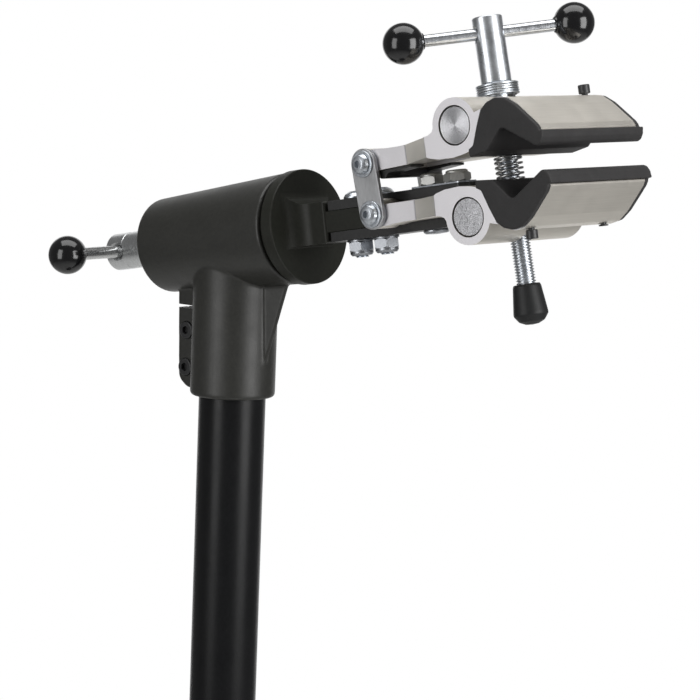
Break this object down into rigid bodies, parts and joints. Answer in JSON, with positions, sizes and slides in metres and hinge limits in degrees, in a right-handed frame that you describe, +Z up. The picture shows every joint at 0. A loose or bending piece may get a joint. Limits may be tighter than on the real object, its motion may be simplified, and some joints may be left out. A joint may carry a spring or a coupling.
{
  "type": "bike repair stand",
  "caption": "Workshop bicycle repair stand with a floor plate, a post, a rotating tilted head and a screw clamp with padded V jaws that opens on link plates.",
  "frame": {"origin": "on the floor plate's underside, under the post axis", "axes": "+Z up along the post, +X the way the clamp arm points, -Y the near side of the jaws"},
  "size_m": [0.58, 0.48, 1.634],
  "materials": {
    "base_black": "textured black powder coat",
    "post_black": "satin black",
    "casting_black": "satin black powder coat",
    "arm_black": "satin black",
    "screw_black": "black oxide",
    "zinc": "bright zinc plate",
    "steel": "bright turned steel",
    "jaw_alu": "satin anodised",
    "pad_rubber": "matte moulded rubber",
    "knob_black": "polished black",
    "bronze": "plain bearing bronze"
  },
  "bodies": {
    "stand": {"base_plate": "base_black", "base_socket": "base_black", "base_bolt_1": "zinc", "base_bolt_2": "zinc", "base_bolt_3": "zinc", "base_bolt_4": "zinc", "post_tube": "post_black", "head_casting": "casting_black", "pinch_bolt_1": "screw_black", "pinch_bolt_2": "screw_black", "cone_liner": "bronze"},
    "rotor": {"rotating_disc": "arm_black", "drawbolt": "steel", "arm_plate_top": "arm_black", "arm_plate_bottom": "arm_black", "tongue_bolt_1": "steel", "tongue_bolt_2": "steel", "tongue_nut_1": "zinc", "tongue_nut_2": "zinc", "jaw_nut_plate": "zinc", "jaw_bolt_1": "zinc", "jaw_bolt_2": "zinc", "jaw_nut_1": "zinc", "jaw_nut_2": "zinc", "lower_jaw": "jaw_alu", "lower_pad": "pad_rubber", "lower_pad_screw_1": "screw_black", "lower_pad_screw_2": "screw_black", "link_bolt_lower_near": "steel", "link_bolt_lower_far": "steel", "link_washer_lower_near": "zinc", "link_washer_lower_far": "zinc"},
    "links": {"link_near": "zinc", "link_far": "zinc"},
    "upper_arm": {"upper_jaw": "jaw_alu", "upper_pad": "pad_rubber", "upper_pad_screw_1": "screw_black", "upper_pad_screw_2": "screw_black", "under_arm_plate": "arm_black", "link_bolt_upper_near": "steel", "link_bolt_upper_far": "steel", "link_washer_upper_near": "zinc", "link_washer_upper_far": "zinc"},
    "upper_pin": {"upper_barrel_pin": "steel", "thrust_bush": "zinc", "thrust_race": "steel", "thrust_washer": "zinc"},
    "clamp_handle": {"clamp_screw": "steel", "t_bar": "steel", "t_knob_near": "knob_black", "t_knob_far": "knob_black", "screw_end_cap": "pad_rubber"},
    "lower_nut": {"lower_barrel_nut": "steel", "opening_spring": "steel"},
    "tension_slider": {"tension_washer": "zinc"},
    "tension_handle": {"tension_boss": "steel", "tension_bar": "steel", "tension_knob_near": "knob_black", "tension_knob_far": "knob_black"}
  },
  "joints": [
    {"name": "head_rotation", "type": "hinge", "parent": "stand", "child": "rotor", "pos_m": [0, 0, 1.45], "axis": [0.9829, 0, 0.184], "continuous": true},
    {"name": "tension_feed", "type": "slide", "parent": "rotor", "child": "tension_slider", "axis": [-0.9829, 0, -0.184], "range_m": [0, 0.0021]},
    {"name": "tension_turn", "type": "hinge", "parent": "tension_slider", "child": "tension_handle", "pos_m": [-0.11264, 0, 1.42892], "axis": [0.9829, 0, 0.184], "range_deg": [0, 360]},
    {"name": "link_swing", "type": "hinge", "parent": "rotor", "child": "links", "pos_m": [0.16005, 0, 1.48087], "axis": [0, -1, 0], "range_deg": [-1.74, 0.84]},
    {"name": "upper_jaw_tilt", "type": "hinge", "parent": "links", "child": "upper_arm", "pos_m": [0.15049, 0, 1.5154], "axis": [0, -1, 0], "range_deg": [-4.8, 12.3], "deforming": ["opening_spring"]},
    {"name": "upper_pin_turn", "type": "hinge", "parent": "upper_arm", "child": "upper_pin", "pos_m": [0.24468, 0, 1.5489], "axis": [0, -1, 0], "range_deg": [-9.34, 3.69]},
    {"name": "lower_nut_turn", "type": "hinge", "parent": "rotor", "child": "lower_nut", "pos_m": [0.25979, 0, 1.48774], "axis": [0, -1, 0], "range_deg": [-0.87, 1.82]},
    {"name": "clamp_screw_turn", "type": "hinge", "parent": "upper_pin", "child": "clamp_handle", "pos_m": [0.24468, 0, 1.5489], "axis": [-0.2392, 0, 0.971], "range_deg": [-1228.5, 3276]}
  ],
  "couplings": [
    {"joint": "tension_feed", "follows": "tension_turn", "m_per_rad": 0.00031831},
    {"joint": "upper_jaw_tilt", "follows": "clamp_screw_turn", "ratio": 0.003663},
    {"joint": "link_swing", "follows": "clamp_screw_turn", "ratio": -0.00043956},
    {"joint": "upper_pin_turn", "follows": "clamp_screw_turn", "ratio": -0.0027585},
    {"joint": "lower_nut_turn", "follows": "clamp_screw_turn", "ratio": 0.00046498}
  ]
}
